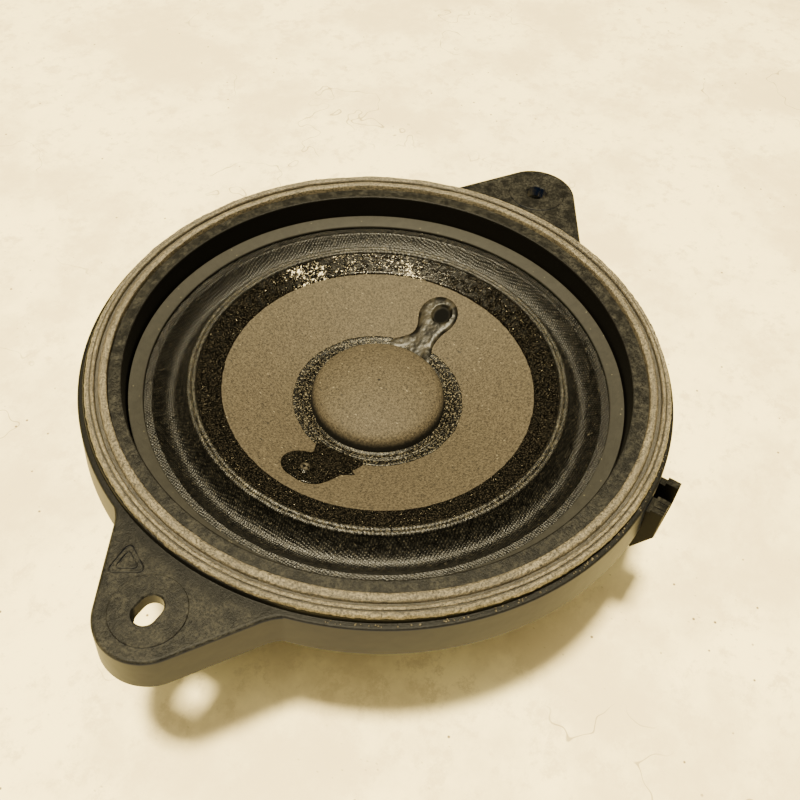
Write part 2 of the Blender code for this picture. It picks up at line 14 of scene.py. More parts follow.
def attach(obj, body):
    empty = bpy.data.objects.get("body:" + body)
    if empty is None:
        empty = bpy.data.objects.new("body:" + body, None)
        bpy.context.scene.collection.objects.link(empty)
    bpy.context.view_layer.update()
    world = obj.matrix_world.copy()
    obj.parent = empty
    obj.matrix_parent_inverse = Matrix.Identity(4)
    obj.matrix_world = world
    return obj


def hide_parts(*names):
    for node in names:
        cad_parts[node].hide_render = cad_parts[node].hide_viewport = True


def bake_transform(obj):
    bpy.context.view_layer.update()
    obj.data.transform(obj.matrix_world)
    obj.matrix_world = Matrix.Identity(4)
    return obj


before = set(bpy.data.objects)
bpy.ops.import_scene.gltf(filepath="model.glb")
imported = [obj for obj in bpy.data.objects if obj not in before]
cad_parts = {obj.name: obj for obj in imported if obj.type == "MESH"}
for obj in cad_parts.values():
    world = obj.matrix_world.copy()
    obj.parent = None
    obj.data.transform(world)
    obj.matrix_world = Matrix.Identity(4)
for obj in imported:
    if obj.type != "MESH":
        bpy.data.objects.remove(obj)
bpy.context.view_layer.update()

MM = 0.001
BODY_FIXED, BODY_MOVING = "basket", "cone"

# Levels of the basket's front
Z_SHELF, Z_LEDGE, Z_SKIRT, Z_SEAT = 43.1, 41.8, 34.1, 35.9
BORE_R, RIM_TOP_R, FLANGE_TOP_R, FLANGE_LOW_R = 47.8, 54.7, 55.8, 56.3
SKIRT_WALL, PLATE, BOWL_R, SEAT_R = 2.3, 2.4, 50.0, 43.6

# Ears
EAR_X, EAR_END_R, EAR_FLARE_DEG, EAR_FILLET_R, EAR_CORE_R = 63.9, 9.0, 31.4, 9.0, 54.9
EAR_DRAFT, EAR_ROUND = 0.3, 0.7
PAD_R, PAD_RISE = 6.25, 0.25

# Cone: two slopes (rise over run) that meet at CONE_R0
CONE_SLOPE, CONE_EDGE_SLOPE, CONE_Z0, CONE_R0 = 0.385, 0.34, 36.2, 30.33
CONE_NECK_R, CONE_EDGE_R, PAPER = 13.3, 35.4, 0.5
LIP_R = 35.5
CAP_R, CAP_BEAD_R = 13.4, 16.9
EYELET_X, KNOB_AT = 24.3, (-24.0, -0.1)
# Where painted glints, pale specks, gather in the edge glue: x, y, reach
PAINTED_GLINT_CLUSTERS = ((16.0, 28.9, 8.5), (28.9, 11.0, 5.0))

# Surround: land on the cone, inverted half roll, flange under the clamp ring
LAND_R, ROLL_IN_R, ROLL_IN_Z, ROLL_OUT_R, ROLL_OUT_Z, ROLL_DEPTH = 31.2, 36.65, 37.7, 43.3, 36.5, 3.3
RING_IN_R, RING_OUT_R, RING_IN_Z, RING_OUT_Z = 44.75, 47.4, 37.4, 38.2
WEAVE_PITCH = 0.46
GASKET_IN_R, GASKET_LOW, GASKET_SHIFT = 50.5, 43.1, (0.05, -0.33)


def cone_z(r):
    """Height of the cone's visible surface at radius r."""
    return CONE_Z0 + np.where(r < CONE_R0, CONE_SLOPE, CONE_EDGE_SLOPE) * (r - CONE_R0)


def polar(radius, degrees):
    angle = math.radians(degrees)
    return radius * math.cos(angle), radius * math.sin(angle)


def arc(cx, cy, radius, start_deg, end_deg, steps):
    points = []
    for i in range(steps + 1):
        x, y = polar(radius, start_deg + (end_deg - start_deg) * i / steps)
        points.append((cx + x, cy + y))
    return points


def fine_noise(points, size, seed=0.0):
    """Smooth noise from -1 to 1 at each point, with features about size mm across."""
    flat = np.asarray(points, float).reshape(-1, 3) / size + seed
    values = [noise.noise(Vector(p)) for p in flat]
    return np.array(values).reshape(np.shape(points)[:-1])


# ------------------------------------------------------------------ materials

class Look:
    """A Principled material whose textures are measured in millimetres."""

    def __init__(self, name, roughness, metallic=0.0, **constants):
        self.material = bpy.data.materials.new(name)
        self.material.use_nodes = True
        self.nodes = self.material.node_tree.nodes
        self.links = self.material.node_tree.links
        self.shader = self.nodes["Principled BSDF"]
        self.shader.inputs["Roughness"].default_value = roughness
        self.shader.inputs["Metallic"].default_value = metallic
        for socket, value in constants.items():
            self.shader.inputs[socket.replace("_", " ")].default_value = value
        self.mm = self.vector("SCALE", self.add("ShaderNodeTexCoord").outputs["Object"], scale=1 / MM)
        self.height = None

    def add(self, kind, **settings):
        node = self.nodes.new(kind)
        for key, value in settings.items():
            setattr(node, key, value)
        return node

    def put(self, socket, value):
        """Links a socket or sets a constant."""
        if isinstance(value, bpy.types.NodeSocket):
            self.links.new(value, socket)
        elif socket.type == "RGBA":
            socket.default_value = (*value, 1.0)
        else:
            socket.default_value = value

    def vector(self, operation, a, b=None, scale=None):
        node = self.add("ShaderNodeVectorMath", operation=operation)
        self.put(node.inputs[0], a)
        if b is not None:
            self.put(node.inputs[1], b)
        if scale is not None:
            node.inputs["Scale"].default_value = scale
        return node.outputs["Vector"]

    def math(self, operation, a, b=0.0):
        node = self.add("ShaderNodeMath", operation=operation)
        self.put(node.inputs[0], a)
        self.put(node.inputs[1], b)
        return node.outputs["Value"]

    def product(self, first, *others):
        for other in others:
            first = self.math("MULTIPLY", first, other)
        return first

    def gap(self, value, target):
        """How far a value is from a target, without its sign."""
        return self.math("ABSOLUTE", self.math("SUBTRACT", value, target))

    def place(self, stretch, shift):
        moved = self.vector("MULTIPLY", self.mm, stretch)
        return self.vector("ADD", moved, (shift, shift * 0.7, shift * 1.3))

    def noise(self, size, detail=3.0, rough=0.5, stretch=(1, 1, 1), shift=0.0):
        node = self.add("ShaderNodeTexNoise")
        self.put(node.inputs["Vector"], self.place(stretch, shift))
        node.inputs["Scale"].default_value = 1 / size
        node.inputs["Detail"].default_value = detail
        node.inputs["Roughness"].default_value = rough
        return node.outputs["Fac"]

    def cells(self, size, stretch=(1, 1, 1), shift=0.0):
        """Distance from scattered points, for specks."""
        node = self.add("ShaderNodeTexVoronoi")
        self.put(node.inputs["Vector"], self.place(stretch, shift))
        node.inputs["Scale"].default_value = 1 / size
        return node.outputs["Distance"]

    def ramp(self, value, low, high, to_low=0.0, to_high=1.0):
        node = self.add("ShaderNodeMapRange", interpolation_type="SMOOTHSTEP")
        for socket, number in zip(node.inputs, (value, low, high, to_low, to_high)):
            self.put(socket, number)
        return node.outputs["Result"]

    def blend(self, a, b, factor):
        node = self.add("ShaderNodeMix", data_type="RGBA")
        self.put(node.inputs["Factor"], factor)
        self.put(node.inputs[6], a)
        self.put(node.inputs[7], b)
        return node.outputs[2]

    def radius(self):
        return self.distance(0.0, 0.0)

    def distance(self, x, y):
        """Distance in plan from a point."""
        flat = self.vector("MULTIPLY", self.mm, (1, 1, 0))
        node = self.add("ShaderNodeVectorMath", operation="DISTANCE")
        self.put(node.inputs[0], flat)
        node.inputs[1].default_value = (x, y, 0.0)
        return node.outputs["Value"]

    def upward(self):
        """1 on faces that look up, 0 on walls and undersides."""
        split = self.add("ShaderNodeSeparateXYZ")
        self.put(split.inputs[0], self.add("ShaderNodeNewGeometry").outputs["Normal"])
        return self.ramp(split.outputs["Z"], 0.25, 0.75)

    def axis(self, index):
        split = self.add("ShaderNodeSeparateXYZ")
        self.put(split.inputs[0], self.mm)
        return split.outputs[index]

    def colour(self, value):
        self.put(self.shader.inputs["Base Color"], value)

    def rough(self, value):
        self.put(self.shader.inputs["Roughness"], value)

    def bump(self, height, depth):
        """Adds relief; depth is in mm."""
        node = self.add("ShaderNodeBump")
        self.put(node.inputs["Height"], height)
        node.inputs["Distance"].default_value = depth * MM
        if self.height:
            self.put(node.inputs["Normal"], self.height)
        self.height = node.outputs["Normal"]
        self.put(self.shader.inputs["Normal"], self.height)


def moulded_plastic(name, painted_wall_tone, gloss=0.12, notch=None):
    """Black-brown plastic: dusty top faces, smooth walls with a painted cool wall tone (painted light), and
    painted shade: a darker bore, a dark dust-free ledge under the gasket and a black notch.
    """
    look = Look(name, 0.5, Specular_IOR_Level=gloss)
    up = look.upward()
    cloud = look.ramp(look.noise(2.4, 6.0, 0.72), 0.36, 0.66)
    grit = look.ramp(look.noise(0.5, 4.0, 0.8, shift=4.0), 0.38, 0.64)
    radius = look.radius()
    # Painted shade: the ledge under the gasket's edge is kept free of dust so it stays dark.
    outside_painted_ledge_shade = look.math("MAXIMUM", look.ramp(radius, 54.0, 53.5), look.ramp(radius, 55.4, 57.5))
    dust = look.product(cloud, grit, up, outside_painted_ledge_shade)
    base = look.blend((0.0006, 0.0006, 0.0004), (0.0026, 0.0024, 0.0017), look.noise(6.0, 3.0))
    # Painted light: walls that are not tops, out past the rim, get a lighter, cooler tone in place of the
    # plastic's own colour.
    painted_wall_mask = look.product(look.math("SUBTRACT", 1.0, up), look.ramp(radius, 55.0, 55.6))
    base = look.blend(base, painted_wall_tone, painted_wall_mask)
    # Painted shade: the socket's deep notch is coloured black.
    if notch:
        low_x, high_x, back_y = notch
        inside = look.product(look.ramp(look.axis(0), low_x - 0.1, low_x),
                              look.ramp(look.axis(0), high_x + 0.1, high_x),
                              look.ramp(look.axis(1), back_y, back_y - 0.1))
        base = look.blend(base, (0.0001, 0.0001, 0.0001), inside)
    dusty = look.blend(base, (0.0255, 0.0240, 0.0190), dust)
    # Painted shade: inside the bore the plastic gets a dark tone with no dust.
    bore = look.ramp(radius, BORE_R + 0.02, BORE_R + 0.5)
    look.colour(look.blend((0.0022, 0.0019, 0.0013), dusty, bore))
    look.rough(look.ramp(dust, 0.0, 1.0, 0.45, 0.75))
    look.bump(look.product(look.noise(0.35, 4.0, 0.7), up), 0.12)
    look.bump(look.noise(5.0, 2.0, shift=9.0), 0.10)
    return look.material


def ring_plastic():
    """Grey-olive clamp ring, matt, with fine grain and dust specks."""
    look = Look("ring_plastic", 0.65, Specular_IOR_Level=0.15)
    tone = look.blend((0.0065, 0.0062, 0.0050), (0.0190, 0.0180, 0.0145), look.noise(1.2, 5.0, 0.7))
    specks = look.ramp(look.cells(1.6, shift=3.0), 0.10, 0.04)
    look.colour(look.blend(tone, (0.12, 0.11, 0.075), look.product(specks, 0.6)))
    look.bump(look.noise(0.3, 3.0, 0.7), 0.04)
    return look.material


def foam():
    """Tan closed-cell foam with a shiny, granular skin, and painted shade in the grooves between its beads.
    """
    look = Look("foam", 0.40, Specular_IOR_Level=0.40)
    grain = look.noise(0.40, 4.0, 0.85)
    tone = look.blend((0.0035, 0.0028, 0.0017), (0.190, 0.157, 0.098), look.ramp(grain, 0.36, 0.70))
    broad = look.ramp(look.noise(7.0, 3.0, shift=5.0), 0.35, 0.65)
    tone = look.blend(tone, (0.018, 0.015, 0.010), look.product(broad, 0.35))
    # Painted shade: the grooves between the beads, and the bead edges beside them, are darkened.
    for groove_r, reach in ((52.4, 0.55), (53.58, 0.22)):
        off = look.gap(look.distance(*GASKET_SHIFT), groove_r)
        tone = look.blend(tone, (0.006, 0.005, 0.0035), look.ramp(off, reach, reach * 0.35, 0.0, 0.8))
    look.colour(tone)
    look.bump(grain, 0.20)
    return look.material


def weave_height(look):
    """Crossing threads of a plain cloth that wander a little, 1 on each crossing."""
    wander = look.product(look.noise(3.0, 2.0, shift=19.0), 6.0)
    waves = []
    for index in (0, 1):
        angle = look.math("ADD", look.product(look.axis(index), math.pi / WEAVE_PITCH), wander)
        waves.append(look.math("POWER", look.math("SINE", angle), 2.0))
    return look.product(*waves)


def coated_cloth():
    """Dark cloth with a satin damping coat that fills the weave; pale specks are painted glints, and brighter
    spots along the lip are a painted highlight.
    """
    look = Look("coated_cloth", 0.34, Specular_IOR_Level=0.26)
    thread = weave_height(look)
    worn = look.ramp(look.noise(1.1, 4.0, 0.7), 0.35, 0.65)
    shade = look.blend((0.0002, 0.0002, 0.0001), (0.0130, 0.0120, 0.0088), look.product(thread, worn))
    # Painted highlights: pale specks in the cloth's colour stand in for glints on the coat.
    glint = look.ramp(look.noise(0.45, 3.0, 0.85, shift=6.0), 0.59, 0.69)
    shade = look.blend(shade, (0.068, 0.060, 0.044), look.product(glint, 0.8))
    # Painted highlight: brighter spots along the lip ridge stand in for the light it catches.
    lip = look.gap(look.radius(), LIP_R + 0.3)
    lip_highlight_spots = look.ramp(look.noise(0.4, 3.0, 0.85, shift=17.0), 0.52, 0.64)
    painted_lip_highlight = look.product(look.ramp(lip, 1.0, 0.3), lip_highlight_spots)
    look.colour(look.blend(shade, (0.075, 0.067, 0.047), painted_lip_highlight))
    look.rough(look.ramp(worn, 0.0, 1.0, 0.28, 0.44))
    look.bump(thread, 0.065)
    look.bump(look.noise(0.42, 3.0, 0.8), 0.11)
    return look.material


def paper(name="paper", painted_shade_low=None, painted_shade_high=None):
    """Tan pressed pulp with a short felted nap; if two heights are given, painted shade darkens it below
    them, and a small dark dot marks the centre.
    """
    look = Look(name, 0.60, Specular_IOR_Level=0.17)
    mottle = look.noise(0.42, 5.0, 0.85)
    tone = look.blend((0.0060, 0.0048, 0.0028), (0.0640, 0.0520, 0.0335), look.ramp(mottle, 0.30, 0.70))
    patch = look.ramp(look.noise(9.0, 3.0, shift=2.0), 0.40, 0.62)
    hair = look.ramp(look.noise(0.35, 2.0, 0.5, stretch=(1.0, 0.22, 1.0), shift=8.0), 0.36, 0.25)
    tone = look.blend(tone, (0.0045, 0.0050, 0.0052), look.product(hair, look.product(patch, 0.9)))
    pale = look.ramp(look.cells(1.5, stretch=(1.0, 0.5, 1.0), shift=5.0), 0.11, 0.05)
    tone = look.blend(tone, (0.130, 0.110, 0.072), look.product(pale, 0.7))
    dark = look.ramp(look.cells(3.1, shift=11.0), 0.075, 0.04)
    tone = look.blend(tone, (0.004, 0.004, 0.0035), look.product(dark, 0.8))
    if painted_shade_low:
        # Painted shade: the cap's wall darkens towards its foot, below a wavy height.
        shade_height = look.math("ADD", look.axis(2), look.product(look.noise(0.8, 3.0, shift=4.0), 0.8))
        dot_and_painted_shade_tone = (0.0022, 0.0019, 0.0012)
        tone = look.blend(dot_and_painted_shade_tone, tone, look.ramp(shade_height, painted_shade_low, painted_shade_high))
        # A small dark dot at the apex, in the same dark tone.
        tone = look.blend(dot_and_painted_shade_tone, tone, look.ramp(look.radius(), 0.15, 0.35))
    look.colour(tone)
    look.bump(look.noise(0.30, 4.0, 0.8), 0.12)
    return look.material


def black_glue():
    """Glossy black adhesive with fine grains; pale specks gathered into two clusters are painted glints, and
    a lighter spot on the dab's bump is a painted highlight.
    """
    look = Look("black_glue", 0.2, Specular_IOR_Level=0.08)
    grain = look.ramp(look.noise(0.30, 3.0, 0.8, shift=3.0), 0.50, 0.68)
    tone = look.blend((0.0002, 0.0002, 0.0001), (0.0240, 0.0205, 0.0145), grain)
    # Painted highlight: a lighter, noisy spot on the dark dab's raised bump.
    painted_bump_highlight = look.ramp(look.distance(*KNOB_AT), 1.2, 0.4)
    painted_bump_highlight = look.product(painted_bump_highlight, look.ramp(look.noise(0.9, 3.0, shift=29.0), 0.38, 0.58))
    tone = look.blend(tone, (0.060, 0.053, 0.040), painted_bump_highlight)
    # Painted highlights: pale specks, gathered near two spots, stand in for glints on the glue.
    glint_cluster_reach = 0.0
    for x, y, reach in PAINTED_GLINT_CLUSTERS:
        glint_cluster_reach = look.math("MAXIMUM", glint_cluster_reach, look.ramp(look.distance(x, y), reach, 1.0))
    faint_glint_reach = look.product(look.ramp(look.distance(26.0, 21.0), 22.0, 8.0), 0.50)
    clumps = look.ramp(look.noise(2.6, 3.0, shift=14.0), 0.36, 0.60, 0.55, 1.0)
    painted_glint_crowd = look.product(look.math("MAXIMUM", glint_cluster_reach, faint_glint_reach), clumps)
    limit = look.math("SUBTRACT", 0.70, look.product(painted_glint_crowd, 0.17))
    over = look.math("SUBTRACT", look.noise(0.55, 3.0, 0.85, shift=23.0), limit)
    look.colour(look.blend(tone, (0.68, 0.60, 0.43), look.ramp(over, 0.0, 0.02)))
    look.rough(look.ramp(look.noise(1.4, 3.0, shift=6.0), 0.40, 0.60, 0.10, 0.30))
    look.bump(look.noise(2.2, 3.0, 0.6), 0.04)
    look.bump(look.noise(0.42, 2.0, 0.7, shift=2.0), 0.08)
    return look.material


def speckled_glue():
    """The cap's adhesive: dark, full of fine bubbles and pale grains."""
    look = Look("speckled_glue", 0.34, Specular_IOR_Level=0.16)
    grain = look.ramp(look.noise(0.38, 3.0, 0.85), 0.54, 0.66)
    look.colour(look.blend((0.0006, 0.0005, 0.0004), (0.145, 0.128, 0.090), grain))
    look.bump(look.noise(0.36, 3.0, 0.7), 0.10)
    return look.material


def clear_glue():
    """Smoky clear adhesive over paper; the pit over the lead's eyelet has painted shade, coloured black."""
    look = Look("clear_glue", 0.34, Specular_IOR_Level=0.10)
    streak = look.noise(1.6, 4.0, 0.6, stretch=(0.4, 1.0, 1.0))
    tone = look.blend((0.0018, 0.0016, 0.0011), (0.0185, 0.0160, 0.0108), look.ramp(streak, 0.38, 0.66))
    # Painted shade: the pit over the eyelet is coloured black and made fully rough.
    outside_painted_pit_shade = look.ramp(look.distance(EYELET_X + 0.1, 0.4), 1.3, 2.1)
    look.colour(look.blend((0.0003, 0.0003, 0.0002), tone, outside_painted_pit_shade))
    look.rough(look.ramp(outside_painted_pit_shade, 0.0, 1.0, 1.0, 0.34))
    look.bump(look.noise(1.1, 3.0), 0.06)
    return look.material


def metal(name, dark, light, roughness, grain=0.3, stretch=(1, 1, 1)):
    look = Look(name, roughness, metallic=1.0)
    tone = look.noise(grain, 4.0, 0.6, stretch)
    look.colour(look.blend(dark, light, tone))
    look.rough(look.ramp(look.noise(2.0, 4.0), 0.3, 0.7, roughness * 0.7, roughness * 1.3))
    look.bump(tone, 0.01)
    return look.material


def former_sheet():
    look = Look("former_sheet", 0.35, Coat_Weight=0.3)
    look.colour(look.blend((0.16, 0.060, 0.014), (0.25, 0.105, 0.025), look.noise(2.0, 3.0)))
    look.bump(look.noise(0.5, 2.0, stretch=(1, 1, 0.05)), 0.02)
    return look.material


def spider_cloth():
    """Amber resin-dipped cotton."""
    look = Look("spider_cloth", 0.75)
    thread = weave_height(look)
    look.colour(look.blend((0.150, 0.085, 0.022), (0.420, 0.275, 0.095), thread))
    look.bump(thread, 0.12)
    look.bump(look.noise(0.2, 3.0), 0.04)
    return look.material


def table_top():
    """Pale board with faint grime, tiny specks and hair-thin scratches."""
    look = Look("table_top", 0.8, Specular_IOR_Level=0.1)
    cloud = look.ramp(look.noise(45.0, 6.0, 0.65), 0.3, 0.7)
    mottle = look.product(cloud, look.ramp(look.noise(5.0, 6.0, 0.75, shift=13.0), 0.30, 0.52))
    tone = look.blend((0.66, 0.550, 0.295), (0.88, 0.760, 0.400), look.ramp(mottle, 0.0, 0.8))
    specks = look.ramp(look.cells(5.0, shift=3.0), 0.075, 0.04)
    thin = look.ramp(look.noise(25.0, 2.0, shift=7.0), 0.44, 0.54)
    marks = look.product(specks, thin)
    fine = look.ramp(look.cells(1.7, stretch=(1.0, 0.6, 1.0), shift=17.0), 0.12, 0.05)
    crowded = look.ramp(look.noise(14.0, 3.0, shift=27.0), 0.50, 0.64, 0.0, 0.4)
    marks = look.math("MAXIMUM", marks, look.product(fine, crowded))
    bend = look.noise(60.0, 4.0, 0.6, shift=21.0)
    hair = look.ramp(look.gap(bend, 0.5), 0.0022, 0.0006)
    here = look.ramp(look.noise(30.0, 1.0, shift=31.0), 0.53, 0.63)
    marks = look.math("MAXIMUM", marks, look.product(hair, here, 0.6))
    look.colour(look.blend(tone, (0.16, 0.120, 0.060), marks))
    look.bump(look.noise(3.0, 4.0), 0.03)
    return look.material


# ------------------------------------------------------------------ mesh helpers

def rounded(corners, radius, steps=4, closed=True):
    """A polyline with its corners eased; a corner's own radius may follow its coordinates."""
    points = []
    count = len(corners)
    for i, corner in enumerate(corners):
        here = np.array(corner[:2], float)
        if not closed and i in (0, count - 1):
            points.append(tuple(here))
            continue
        own = corner[2] if len(corner) > 2 else radius
        back = np.array(corners[i - 1][:2], float) - here
        ahead = np.array(corners[(i + 1) % count][:2], float) - here
        start = here + back * min(own / np.linalg.norm(back), 0.45)
        end = here + ahead * min(own / np.linalg.norm(ahead), 0.45)
        for k in range(steps + 1):
            t = k / steps
            points.append(tuple((1 - t) ** 2 * start + 2 * t * (1 - t) * here + t * t * end))
    return points


def mesh_object(name, points, faces, material=None):
    """A closed mesh from points in mm."""
    mesh = bpy.data.meshes.new(name)
    mesh.from_pydata((np.asarray(points, float).reshape(-1, 3) * MM).tolist(), [], faces)
    bm = bmesh.new()
    bm.from_mesh(mesh)
    bmesh.ops.remove_doubles(bm, verts=bm.verts, dist=1e-7)
    bmesh.ops.recalc_face_normals(bm, faces=bm.faces)
    bm.to_mesh(mesh)
    bm.free()
    obj = bpy.data.objects.new(name, mesh)
    bpy.context.scene.collection.objects.link(obj)
    if material:
        mesh.materials.append(material)
    return obj


def grid_faces(rows, columns, wrap_rows=True, wrap_columns=False):
    """Quads over a rows x columns grid of points, row by row."""
    faces = []
    for i in range(rows if wrap_rows else rows - 1):
        below = ((i + 1) % rows) * columns
        for j in range(columns if wrap_columns else columns - 1):
            k = (j + 1) % columns
            faces.append((i * columns + j, below + j, below + k, i * columns + k))
    return faces


def smooth(obj, sharp_deg=35):
    obj.data.shade_smooth()
    obj.data.set_sharp_from_angle(angle=math.radians(sharp_deg))
    return obj


def revolve(name, profile, steps, material=None, on_axis=False, shape=None):
    """Turns a profile of (radius, z) about the speaker axis; shape may move the points."""
    r, z = np.array(profile, float).T
    angle = np.linspace(0, 2 * math.pi, steps, endpoint=False)[:, None]
    points = np.stack([r * np.cos(angle), r * np.sin(angle), np.broadcast_to(z, (steps, len(r)))], -1)
    if shape:
        points = shape(points)
    obj = mesh_object(name, points, grid_faces(steps, len(r), wrap_columns=not on_axis), material)
    return smooth(obj)


def loft(name, rings, material=None):
    """Closed solid through rings of equal point counts."""
    count = len(rings[0])
    faces = grid_faces(len(rings), count, wrap_rows=False, wrap_columns=True)
    faces.append(tuple(range(count)))
    faces.append(tuple(range((len(rings) - 1) * count, len(rings) * count)))
    return mesh_object(name, [p for ring in rings for p in ring], faces, material)


def prism(name, outline, low, high, material=None):
    """An outline in the XY plane raised from low to high."""
    return loft(name, [[(x, y, z) for x, y in outline] for z in (low, high)], material)


def box_tool(low, high):
    outline = [(low[0], low[1]), (high[0], low[1]), (high[0], high[1]), (low[0], high[1])]
    return prism("box_tool", outline, low[2], high[2])


def apply_modifiers(obj):
    bpy.context.view_layer.update()
    evaluated = obj.evaluated_get(bpy.context.evaluated_depsgraph_get())
    mesh = bpy.data.meshes.new_from_object(evaluated)
    obj.modifiers.clear()
    old = obj.data
    obj.data = mesh
    bpy.data.meshes.remove(old)


def combine(obj, tool, operation="DIFFERENCE"):
    """Cuts obj with a tool, or joins the tool to it, and uses the tool up."""
    boolean = obj.modifiers.new("combine", "BOOLEAN")
    boolean.operation = operation
    boolean.solver = "EXACT"
    boolean.object = tool
    apply_modifiers(obj)
    bpy.data.objects.remove(tool)


def even_normals(obj):
    """Keeps flat faces flat beside rounded edges."""
    smooth(obj)
    weighted = obj.modifiers.new("even normals", "WEIGHTED_NORMAL")
    weighted.keep_sharp = True


def tube_points(path, radius, sides=8):
    """Rings of points round a path, turned as little as possible along it."""
    path = [Vector(p) for p in path]
    tangent = (path[1] - path[0]).normalized()
    side = tangent.orthogonal().normalized()
    rings = []
    for i, point in enumerate(path):
        new = (path[min(i + 1, len(path) - 1)] - path[max(i - 1, 0)]).normalized()
        side = tangent.rotation_difference(new) @ side
        tangent = new
        other = tangent.cross(side)
        ring = []
        for k in range(sides):
            c, s = polar(radius, 360.0 * k / sides)
            ring.append(tuple(point + c * side + s * other))
        rings.append(ring)
    return rings


def spline(route, samples):
    """Smooth curve through a route's points."""
    points = [Vector(p) for p in route]
    points = [2 * points[0] - points[1]] + points + [2 * points[-1] - points[-2]]
    spans = len(points) - 3
    path = []
    for i in range(samples + 1):
        t = i / samples * spans
        k = min(int(t), spans - 1)
        u = t - k
        a, b, c, d = points[k:k + 4]
        path.append(0.5 * (2 * b + (c - a) * u + (2 * a - 5 * b + 4 * c - d) * u ** 2
                           + (3 * b - a - 3 * c + d) * u ** 3))
    return path


def stand_for(obj, body, *nodes):
    """obj shows in place of these CAD nodes and moves with a body."""
    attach(obj, body)
    if nodes:
        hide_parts(*nodes)
    return obj


# ------------------------------------------------------------------ basket

def ear_outline(inset=0.0):
    """One ear from above, pointing along +X: round end, straight flanks, fillet into the rim."""
    end_r, rim_r, fillet_r = EAR_END_R - inset, FLANGE_TOP_R - inset, EAR_FILLET_R + inset
    touch = 90.0 - EAR_FLARE_DEG
    normal = Vector(polar(1.0, touch))
    along = Vector((-normal.y, normal.x))
    base = Vector((EAR_X, 0.0)) + (end_r + fillet_r) * normal
    half_b = base.dot(along)
    reach = -half_b - math.sqrt(half_b ** 2 - base.dot(base) + (rim_r + fillet_r) ** 2)
    centre = base + reach * along
    first = math.degrees(math.atan2(-normal.y, -normal.x)) % 360.0
    last = math.degrees(math.atan2(-centre.y, -centre.x)) % 360.0
    upper = arc(EAR_X, 0.0, end_r, 0.0, touch, 24) + arc(centre.x, centre.y, fillet_r, first, last, 16)
    upper.append((EAR_CORE_R - 8.0, upper[-1][1]))
    return upper + [(x, -y) for x, y in reversed(upper[1:])]


def ear_ring(inset, z, side):
    return [(side * x, side * y, z) for x, y in ear_outline(inset)]


def ear(side):
    """An ear with drafted walls, an eased top edge, a screw pad and a hollow underside."""
    layers = [(0.25, Z_SKIRT), (0.0, Z_SKIRT + 0.25), (EAR_DRAFT, Z_LEDGE - EAR_ROUND)]
    for k in range(1, 6):
        angle = math.pi / 2 * k / 5
        layers.append((EAR_DRAFT + EAR_ROUND * (1 - math.cos(angle)),
                       Z_LEDGE - EAR_ROUND * (1 - math.sin(angle))))
    solid = loft("ear", [ear_ring(inset, z, side) for inset, z in layers])
    hollow = [(SKIRT_WALL, Z_SKIRT - 1), (SKIRT_WALL + 0.4, Z_LEDGE - PLATE - 0.4),
              (SKIRT_WALL + 0.8, Z_LEDGE - PLATE)]
    combine(solid, loft("hollow", [ear_ring(inset, z, side) for inset, z in hollow]))
    core = [(0, Z_LEDGE + 2), (EAR_CORE_R, Z_LEDGE + 2), (EAR_CORE_R, Z_SKIRT - 3), (0, Z_SKIRT - 3)]
    combine(solid, revolve("core", core, 240, on_axis=True))
    pad_top = Z_LEDGE + PAD_RISE
    pad_profile = [(0, pad_top), (PAD_R - 0.12, pad_top), (PAD_R, pad_top - 0.1),
                   (PAD_R + 0.05, Z_LEDGE - 1), (0, Z_LEDGE - 1)]
    pad = revolve("pad", pad_profile, 96, on_axis=True)
    pad.location.x = side * EAR_X * MM
    combine(solid, pad, "UNION")
    return solid


def hole_tool(outline, centre):
    """A through hole with a small countersink at its top edge."""
    rings = []
    pad_top = Z_LEDGE + PAD_RISE
    for grow, z in ((0.0, Z_SKIRT), (0.0, pad_top - 0.25), (0.35, pad_top + 0.1), (0.35, Z_LEDGE + 3)):
        ring = []
        for x, y in outline:
            offset = Vector((x - centre, y))
            offset += offset.normalized() * grow
            ring.append((centre + offset.x, offset.y, z))
        rings.append(ring)
    return loft("hole_tool", rings)


def round_hole_outline():
    """Screw hole with three crush ribs."""
    points = []
    for i in range(96):
        angle = 3.75 * i
        rib = 0.35 * max(0.0, math.cos(math.radians(3 * angle))) ** 8
        x, y = polar(2.3 - rib, angle)
        points.append((EAR_X + x, y))
    return points


def slot_outline():
    half, radius = 0.775, 1.95
    return arc(half - EAR_X, 0, radius, -90, 90, 24) + arc(-half - EAR_X, 0, radius, 90, 270, 24)


def window_outline(centre_deg):
    low, high = centre_deg - 24.5, centre_deg + 24.5
    corners = arc(0, 0, 42.6, low, high, 24) + arc(0, 0, 31.0, high, low, 18)
    eased = [(x, y, 0.1) for x, y in corners]
    for index in (0, 24, 25, 43):
        eased[index] = (*corners[index], 2.0)
    return rounded(eased, 0.1, 2)


